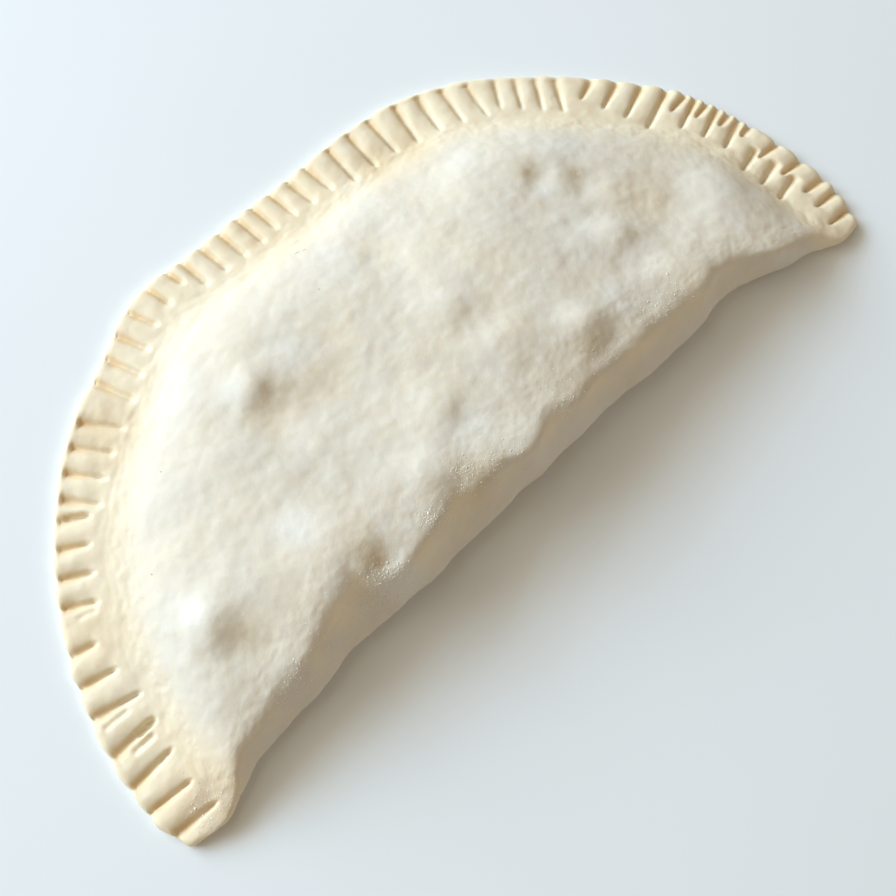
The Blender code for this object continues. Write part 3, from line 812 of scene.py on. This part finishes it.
def make_pie(plan):
    """The dough with its fine relief and what its material reads; also a search tree of it."""
    shell = make_shell(plan)
    points = np.concatenate(shell.points)
    mesh = bpy.data.meshes.new("cheburek_dough")
    mesh.from_pydata(points, [], shell.faces)
    normals = np.empty(points.size)
    mesh.vertices.foreach_get("normal", normals)
    points = points + normals.reshape(-1, 3) * fine_relief(points)[:, None]
    points[:, 2] = np.maximum(points[:, 2], 0.0)
    mesh.vertices.foreach_set("co", ((points - plan.centre) * MM).ravel())
    mesh.update()
    mesh.shade_smooth()
    paint(mesh, "flour", flour_cover(points))
    # thick flour, partly a painted highlight on the lumps' lit sides
    paint(mesh, "thick_and_highlight", patches(points[:, 0], points[:, 1], THICK_FLOUR_AND_HIGHLIGHT))
    # painted shade: darker dough in hollows and at the rim's grooves
    paint(mesh, "painted_shade", patches(points[:, 0], points[:, 1], PAINTED_SHADE_PATCHES))
    # bare dough, in places painted shade, joined with the marks' bare dough and painted warm shade
    bare_and_shade = patches(points[:, 0], points[:, 1], BARE_DOUGH_AND_SHADE_PATCHES)
    paint(mesh, "pressed_and_shade", np.maximum(pressed_in(points), bare_and_shade))
    mesh.materials.append(dough_material())
    pie = bpy.data.objects.new("cheburek_dough", mesh)
    bpy.context.scene.collection.objects.link(pie)
    return pie, BVHTree.FromPolygons(points.tolist(), shell.faces)


def dropped(tree, plan_places):
    """Where things dropped on the pie come to lie, and the way its surface faces there."""
    hits = [tree.ray_cast(Vector((x, y, DROP_HEIGHT)), Vector((0.0, 0.0, -1.0)))
            for x, y in plan_places]
    landed = np.array([hit[0] is not None for hit in hits])
    places = np.array([hit[0] for hit in hits if hit[0] is not None])
    normals = np.array([hit[1] for hit in hits if hit[0] is not None])
    return landed, places, normals


def make_bits(name, plan, places, axes, material):
    """One mesh of many small rounded bits, each with its place and its three half-axes."""
    bm = bmesh.new()
    bmesh.ops.create_icosphere(bm, subdivisions=1, radius=1.0)
    ball = np.array([vert.co for vert in bm.verts])
    corners = np.array([[vert.index for vert in face.verts] for face in bm.faces])
    bm.free()
    points = places[:, None, :] + np.einsum("bk,nkj->nbj", ball, axes)
    faces = corners[None] + len(ball) * np.arange(len(places))[:, None, None]
    mesh = bpy.data.meshes.new(name)
    mesh.from_pydata((points.reshape(-1, 3) - plan.centre) * MM, [], faces.reshape(-1, 3).tolist())
    mesh.shade_smooth()
    mesh.materials.append(material)
    bits = bpy.data.objects.new(name, mesh)
    bpy.context.scene.collection.objects.link(bits)
    return bits


def make_flour(plan, tree):
    """Loose grains of flour: in clumps above the fold and at the left tip, and single ones."""
    chance = np.random.default_rng(SEED)
    plan_places, sizes = [], []
    for x, y, spread, number in GRAIN_CLUMPS:
        number = int(CLUMP_CROWDING * number)
        plan_places.append(chance.normal((x, y), spread, (number, 2)))
        sizes.append(np.full(number, CLUMP_GRAIN))
    low = plan.x.min(), plan.y.min()
    high = plan.x.max(), plan.y.max()
    plan_places.append(chance.uniform(low, high, (DUSTING, 2)))
    sizes.append(np.full(DUSTING, DUSTING_GRAIN))
    landed, places, normals = dropped(tree, np.concatenate(plan_places))
    sizes = np.concatenate(sizes)[landed] * chance.lognormal(0.0, GRAIN_SPREAD, landed.sum())
    sides = chance.normal(size=(len(places), 3, 3))
    turns = np.linalg.qr(sides)[0]
    axes = turns * (sizes[:, None] * chance.uniform(*GRAIN_FORMS, (len(places), 3)))[:, :, None]
    places = places + normals * (sizes * (1.0 - 2.0 * GRAIN_SINK))[:, None]
    return make_bits("loose_flour", plan, places, axes, flour_material())


def make_bran(plan, tree):
    """Flecks of bran that lie flat on the dough."""
    flecks = np.array(BRAN_FLECKS)
    _, places, normals = dropped(tree, flecks[:, :2])
    turn = np.radians(flecks[:, 4])
    along = np.stack([np.cos(turn), np.sin(turn), np.zeros_like(turn)], axis=1)
    along -= normals * np.sum(along * normals, axis=1, keepdims=True)
    along /= np.linalg.norm(along, axis=1, keepdims=True)
    axes = np.stack([
        along * 0.5 * flecks[:, 2:3],
        np.cross(normals, along) * 0.5 * flecks[:, 3:4],
        normals * 0.5 * BRAN_THICKNESS,
    ], axis=1)
    return make_bits("bran_flecks", plan, places, axes, bran_material())


# ---------------------------------------------------------------- materials

# Colours in linear red, green and blue
DOUGH = (0.88, 0.755, 0.545)
# bare dough of the fork's marks, darker and more orange as painted warm shade in the grooves
DOUGH_PRESSED_AND_SHADE = (0.80, 0.59, 0.33)
# painted shade: darker dough painted where hollows and the rim's grooves lie in shade
DOUGH_PAINTED_SHADE = (0.60, 0.49, 0.34)
FLOURED = (0.725, 0.655, 0.54)
FLOUR_WHITE = (0.82, 0.79, 0.72)
LOOSE_FLOUR = (0.95, 0.90, 0.79)
BRAN = (0.30, 0.20, 0.11)
FLOOR = (0.87, 0.90, 0.92)

# How unevenly flour covers the dough: in drifts, in patches and in specks of dust. For each the
# size of its noise, how many finer layers it has and how rough they are.
DRIFTS = (16.0, 3.0, 0.55)
PATCHES = (3.5, 3.0, 0.6)
DUST = (0.5, 2.0, 0.6)
DRIFT_SHARE = 0.7           # what the drifts add to the unevenness
PATCH_SHARE = 0.22          # and what the patches add
EVEN_COVER = 0.38           # what there is of flour apart from those
COVER_RAMP = (0.15, 1.0)    # from bare dough to dough with all of its flour
WHITE_RAMP = (0.42, 0.66)   # unevenness from which flour looks white, and where it does fully
WHITE_SHARE = 0.3           # how white it gets there
SPECK_RAMP = (0.56, 0.74)   # the same for the specks of dust
SPECK_SHARE = 0.22
PAINTED_SHADE_RAMP = (0.2, 0.55)     # painted shade shows in patches: unevenness from which it shows, and where it does fully
PRESSED_AND_SHADE_SHARE = 0.9         # how bare the marks' dough is at most, with its painted warm shade
DOUGH_ROUGHNESS = 0.6       # without flour
FLOUR_ROUGHNESS = 0.25      # what flour adds to that
DOUGH_SCATTER = 0.25        # share of the light that goes through the dough
DOUGH_SCATTER_REACH = 2.5   # how far red light goes in the dough
DOUGH_SCATTER_RADIUS = (1.0, 0.6, 0.3)    # red, green and blue, as shares of that
DOUGH_SHINE = 0.3
GRIT_SIZE = 0.22            # the finest grain, in the bump only
GRIT_SHARE = 0.5            # how much of it there is beside the dust
GRIT_HEIGHT = 0.12          # how high the grain of dust and grit is
GRIT_STRENGTH = 0.35        # and how strongly it shows

FLOUR_SHADE = 0.93          # how dark the creamier grains are beside the others
FLOUR_SHADE_SIZE = 1.5
FLOUR_SHADE_RAMP = (0.35, 0.65)
LOOSE_FLOUR_ROUGHNESS = 0.9
LOOSE_FLOUR_SHINE = 0.2

BRAN_SHADE = 1.6            # how much lighter the flecks' light parts are
BRAN_SHADE_SIZE = 0.3
BRAN_SHADE_RAMP = (0.3, 0.7)
BRAN_ROUGHNESS = 0.7

FLOOR_SHADE = 0.985         # how dark the floor's faint clouds are
FLOOR_SHADE_SIZE = 90.0
FLOOR_SHADE_RAMP = (0.3, 0.7)
FLOOR_ROUGHNESS = 0.55
FLOOR_SHINE = 0.25
FLOOR_GRAIN_SIZE = 0.8
FLOOR_GRAIN_STRENGTH = 0.15
FLOOR_GRAIN_HEIGHT = 0.05


def add(tree, kind, **values):
    """A node with its properties and inputs set by name; an input is written in capitals."""
    node = tree.nodes.new(kind)
    for name, value in values.items():
        if name[0].isupper():
            socket = node.inputs[name.replace("_", " ")]
            if isinstance(value, bpy.types.NodeSocket):
                tree.links.new(value, socket)
            elif isinstance(value, tuple) and len(value) == 3 and socket.type == "RGBA":
                socket.default_value = (*value, 1.0)
            else:
                socket.default_value = value
        else:
            setattr(node, name, value)
    return node


def grain_texture(tree, place, size, detail=2.0, roughness=0.5):
    """Noise with bumps of the given size in millimetres."""
    node = add(tree, "ShaderNodeTexNoise", Vector=place, Scale=1.0 / (size * MM), Detail=detail)
    node.inputs["Roughness"].default_value = roughness
    return node.outputs["Fac"]


def ramp(tree, value, low, high):
    """0 up to the low value and 1 from the high one."""
    node = add(tree, "ShaderNodeMapRange", interpolation_type="SMOOTHSTEP", Value=value)
    node.inputs["From Min"].default_value = low
    node.inputs["From Max"].default_value = high
    return node.outputs["Result"]


def maths(tree, operation, first, second):
    """A sum or product and the like of two values, each a number or a socket."""
    node = tree.nodes.new("ShaderNodeMath")
    node.operation = operation
    for socket, value in zip(node.inputs, (first, second)):
        if isinstance(value, bpy.types.NodeSocket):
            tree.links.new(value, socket)
        else:
            socket.default_value = value
    return node.outputs[0]


def mix(tree, share, first, second):
    """A colour between two, each a colour or a socket."""
    node = tree.nodes.new("ShaderNodeMix")
    node.data_type = "RGBA"
    tree.links.new(share, node.inputs[0])
    for socket, value in zip((node.inputs[6], node.inputs[7]), (first, second)):
        if isinstance(value, bpy.types.NodeSocket):
            tree.links.new(value, socket)
        else:
            socket.default_value = (*value, 1.0)
    return node.outputs[2]


def new_material(name):
    """A material, its nodes, its shader and the object's own coordinates."""
    material = bpy.data.materials.new(name)
    material.use_nodes = True
    tree = material.node_tree
    place = tree.nodes.new("ShaderNodeTexCoord").outputs["Object"]
    return material, tree, tree.nodes["Principled BSDF"], place


def bump(tree, shader, height, strength, distance):
    """Relief in the shading alone, for what is finer than the mesh."""
    node = add(tree, "ShaderNodeBump", Strength=strength, Distance=distance * MM, Height=height)
    tree.links.new(node.outputs["Normal"], shader.inputs["Normal"])


def dough_material():
    """Raw dough under uneven flour, barer where the fork was pressed in, with painted warm shade in
    the marks, painted shade in hollows and grooves and, in part, a painted highlight where flour lies
    thick.
    """
    material, tree, shader, place = new_material("raw_dough")
    names = ("flour", "thick_and_highlight", "painted_shade", "pressed_and_shade")
    flour, thick_and_highlight, painted_shade, pressed_and_shade = [
        add(tree, "ShaderNodeAttribute", attribute_name=name).outputs["Fac"] for name in names]
    drifts = grain_texture(tree, place, *DRIFTS)
    patchy = grain_texture(tree, place, *PATCHES)
    dust = grain_texture(tree, place, *DUST)
    drifted = maths(tree, "MULTIPLY", drifts, DRIFT_SHARE)
    uneven = maths(tree, "ADD", drifted, maths(tree, "MULTIPLY", patchy, PATCH_SHARE))
    cover = maths(tree, "MULTIPLY", flour, maths(tree, "ADD", uneven, EVEN_COVER))
    colour = mix(tree, ramp(tree, cover, *COVER_RAMP), DOUGH, FLOURED)
    white = maths(tree, "MULTIPLY", ramp(tree, uneven, *WHITE_RAMP), flour)
    # thick flour whitens the colour, partly as a painted highlight on the lumps' lit sides
    white = maths(tree, "MAXIMUM", maths(tree, "MULTIPLY", white, WHITE_SHARE), thick_and_highlight)
    colour = mix(tree, white, colour, FLOUR_WHITE)
    specks = maths(tree, "MULTIPLY", ramp(tree, dust, *SPECK_RAMP), flour)
    colour = mix(tree, maths(tree, "MULTIPLY", specks, SPECK_SHARE), colour, FLOUR_WHITE)
    # painted shade: darker dough, in patches, where hollows and grooves lie in shade
    painted_shade = maths(tree, "MULTIPLY", painted_shade, ramp(tree, patchy, *PAINTED_SHADE_RAMP))
    colour = mix(tree, painted_shade, colour, DOUGH_PAINTED_SHADE)
    # bare dough with painted warm shade in the fork's marks and in the bare patches
    colour = mix(tree, maths(tree, "MULTIPLY", pressed_and_shade, PRESSED_AND_SHADE_SHARE), colour, DOUGH_PRESSED_AND_SHADE)
    tree.links.new(colour, shader.inputs["Base Color"])
    added = maths(tree, "MULTIPLY", flour, FLOUR_ROUGHNESS)
    tree.links.new(maths(tree, "ADD", added, DOUGH_ROUGHNESS), shader.inputs["Roughness"])
    shader.inputs["Subsurface Weight"].default_value = DOUGH_SCATTER
    shader.inputs["Subsurface Radius"].default_value = DOUGH_SCATTER_RADIUS
    shader.inputs["Subsurface Scale"].default_value = DOUGH_SCATTER_REACH * MM
    shader.inputs["Specular IOR Level"].default_value = DOUGH_SHINE
    finest = maths(tree, "MULTIPLY", grain_texture(tree, place, GRIT_SIZE), GRIT_SHARE)
    bump(tree, shader, maths(tree, "ADD", dust, finest), GRIT_STRENGTH, GRIT_HEIGHT)
    return material


def shaded_material(name, colour, shade, size, shade_ramp, roughness):
    """A rough material of one colour that turns here and there to a darker or lighter shade."""
    material, tree, shader, place = new_material(name)
    share = ramp(tree, grain_texture(tree, place, size), *shade_ramp)
    other = tuple(shade * part for part in colour)
    tree.links.new(mix(tree, share, colour, other), shader.inputs["Base Color"])
    shader.inputs["Roughness"].default_value = roughness
    return material, tree, shader, place


def flour_material():
    """Loose flour, some of it creamier."""
    material, _, shader, _ = shaded_material(
        "loose_flour", LOOSE_FLOUR, FLOUR_SHADE, FLOUR_SHADE_SIZE, FLOUR_SHADE_RAMP,
        LOOSE_FLOUR_ROUGHNESS)
    shader.inputs["Specular IOR Level"].default_value = LOOSE_FLOUR_SHINE
    return material


def bran_material():
    """Brown husk, lighter in places."""
    return shaded_material(
        "bran", BRAN, BRAN_SHADE, BRAN_SHADE_SIZE, BRAN_SHADE_RAMP, BRAN_ROUGHNESS)[0]


def floor_material():
    """A plain pale tabletop, very slightly cloudy and grained."""
    material, tree, shader, place = shaded_material(
        "pale_tabletop", FLOOR, FLOOR_SHADE, FLOOR_SHADE_SIZE, FLOOR_SHADE_RAMP, FLOOR_ROUGHNESS)
    shader.inputs["Specular IOR Level"].default_value = FLOOR_SHINE
    grain = grain_texture(tree, place, FLOOR_GRAIN_SIZE)
    bump(tree, shader, grain, FLOOR_GRAIN_STRENGTH, FLOOR_GRAIN_HEIGHT)
    return material


# ---------------------------------------------------------------- room

# The camera in the plan: place, then its right, down and forward directions
CAMERA_PLACE = (-67.894, -10.122, 239.853)
CAMERA_RIGHT = (0.72613, -0.68385, 0.07134)
CAMERA_DOWN = (-0.64686, -0.71463, -0.26625)
CAMERA_FORWARD = (0.23305, 0.14718, -0.96126)
FOCAL_LENGTH = 1100.0       # in pixels of the photo
PHOTO_SIDE = 896.0          # width and height of the photo in pixels
SENSOR = 36.0               # width of the camera's sensor
NEAR, FAR = 0.01, 50.0      # what the camera sees lies between these, in metres

# Soft light from one side, weak light back from the other: for each area light its name, the way
# to it in plan, elevation, width, power and colour
WINDOW = (-0.42, 0.907)
ROOM = (0.42, -0.907)
LIGHT_DISTANCE = 2.0        # from the pie to every light
LIGHT_HEIGHT = 0.54         # of every light's own rectangle
LIGHTS = (
    ("window_foot", WINDOW, 20.0, 2.0, 35.1, (0.667, 0.815, 1.0)),
    ("window", WINDOW, 32.0, 2.0, 29.3, (0.652, 0.836, 1.0)),
    ("window_head", WINDOW, 45.0, 2.0, 8.25, (1.0, 1.0, 0.90)),
    ("ceiling", WINDOW, 65.0, 2.0, 4.5, (1.0, 0.93, 0.75)),
    ("room", ROOM, 8.0, 2.5, 5.5, (1.0, 1.0, 1.0)),
)
FILL = (0.245, 0.200, 0.144)    # light from all round
FLOOR_REACH = 2.5           # middle of the floor to its sides, in metres


def make_camera(plan):
    """The camera at the photo's place and angle, its colours left as they are."""
    data = bpy.data.cameras.new("camera")
    data.sensor_fit = "HORIZONTAL"
    data.sensor_width = SENSOR
    data.lens = SENSOR * FOCAL_LENGTH / PHOTO_SIDE
    data.clip_start = NEAR
    data.clip_end = FAR
    camera = bpy.data.objects.new("camera", data)
    axes = Matrix((CAMERA_RIGHT, -Vector(CAMERA_DOWN), -Vector(CAMERA_FORWARD))).transposed()
    place = Vector((np.array(CAMERA_PLACE) - plan.centre) * MM)
    camera.matrix_world = Matrix.Translation(place) @ axes.to_4x4()
    bpy.context.scene.collection.objects.link(camera)
    bpy.context.scene.camera = camera
    bpy.context.scene.view_settings.view_transform = "Standard"


def make_lights():
    """The soft lights and the weak light from all round."""
    for name, heading, elevation, width, power, colour in LIGHTS:
        data = bpy.data.lights.new(name, "AREA")
        data.shape = "RECTANGLE"
        data.size = width
        data.size_y = LIGHT_HEIGHT
        data.energy = power
        data.color = colour
        light = bpy.data.objects.new(name, data)
        level = np.cos(np.radians(elevation)) * np.array(heading)
        towards = Vector((*level, np.sin(np.radians(elevation))))
        light.location = LIGHT_DISTANCE * towards
        light.rotation_euler = towards.to_track_quat("Z", "Y").to_euler()
        bpy.context.scene.collection.objects.link(light)
    world = bpy.data.worlds.new("surroundings")
    world.use_nodes = True
    world.node_tree.nodes["Background"].inputs["Color"].default_value = (*FILL, 1.0)
    bpy.context.scene.world = world


def make_floor():
    """The plain surface that the pie lies on."""
    mesh = bpy.data.meshes.new("floor")
    corners = [(-1, -1), (1, -1), (1, 1), (-1, 1)]
    mesh.from_pydata([(x * FLOOR_REACH, y * FLOOR_REACH, 0.0) for x, y in corners], [], [(0, 1, 2, 3)])
    mesh.materials.append(floor_material())
    floor = bpy.data.objects.new("floor", mesh)
    bpy.context.scene.collection.objects.link(floor)


plan = Plan()
pie, surface = make_pie(plan)
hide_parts(NODE)
for piece in (pie, make_flour(plan, surface), make_bran(plan, surface)):
    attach(piece, BODY)
make_floor()
make_lights()
make_camera(plan)
